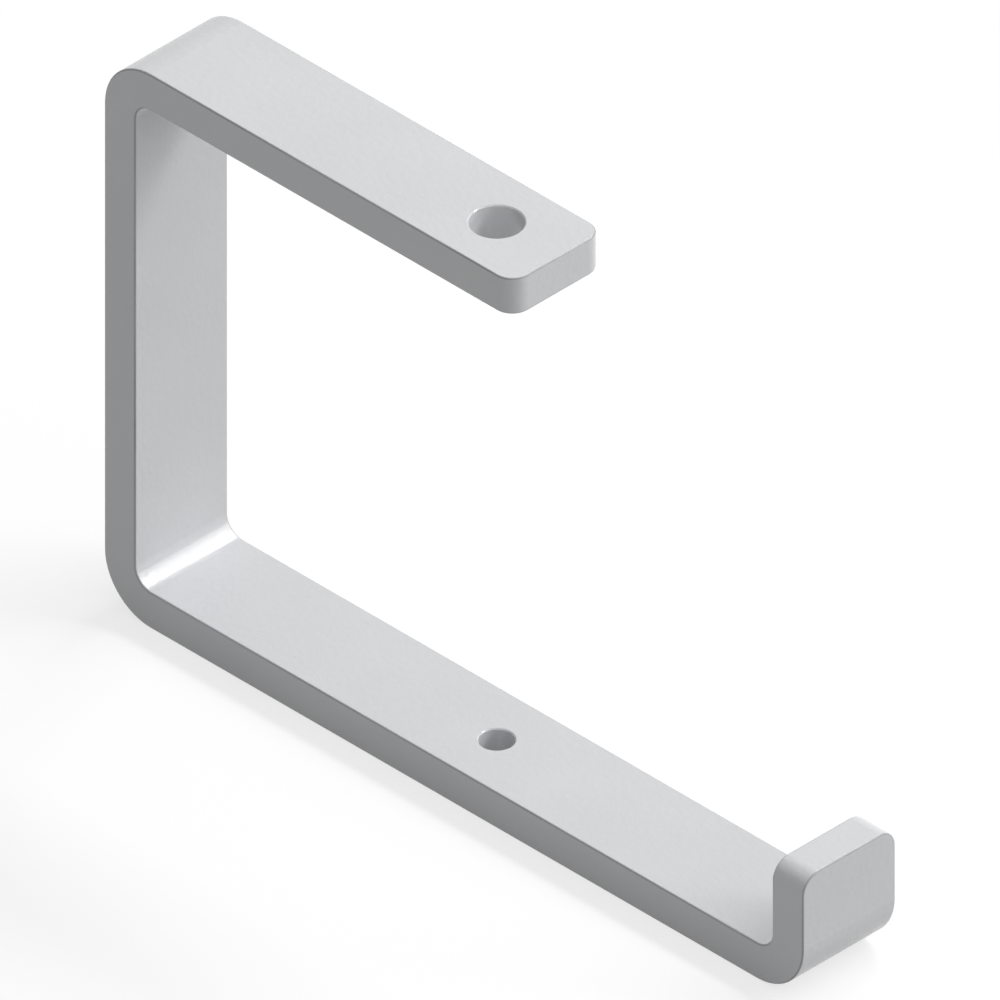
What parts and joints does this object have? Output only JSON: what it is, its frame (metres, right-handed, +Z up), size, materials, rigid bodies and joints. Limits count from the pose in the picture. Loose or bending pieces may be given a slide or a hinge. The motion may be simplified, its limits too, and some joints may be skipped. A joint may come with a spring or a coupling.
{
  "type": "open-type cable hanger",
  "caption": "Flat steel bar bent into an open C with an upturned lip, hung from a rod through its top arm to carry cables that are laid in from the side.",
  "frame": {"origin": "centre of the rod hole, at the middle of the top arm's thickness", "axes": "+X along the arms to their free ends, +Y across the bar, +Z up along the rod hole"},
  "size_m": [0.226, 0.03, 0.155],
  "materials": {
    "coated_steel": "smooth satin coat, light neutral grey"
  },
  "bodies": {
    "root": {"hanger_bar": "coated_steel"}
  },
  "joints": []
}
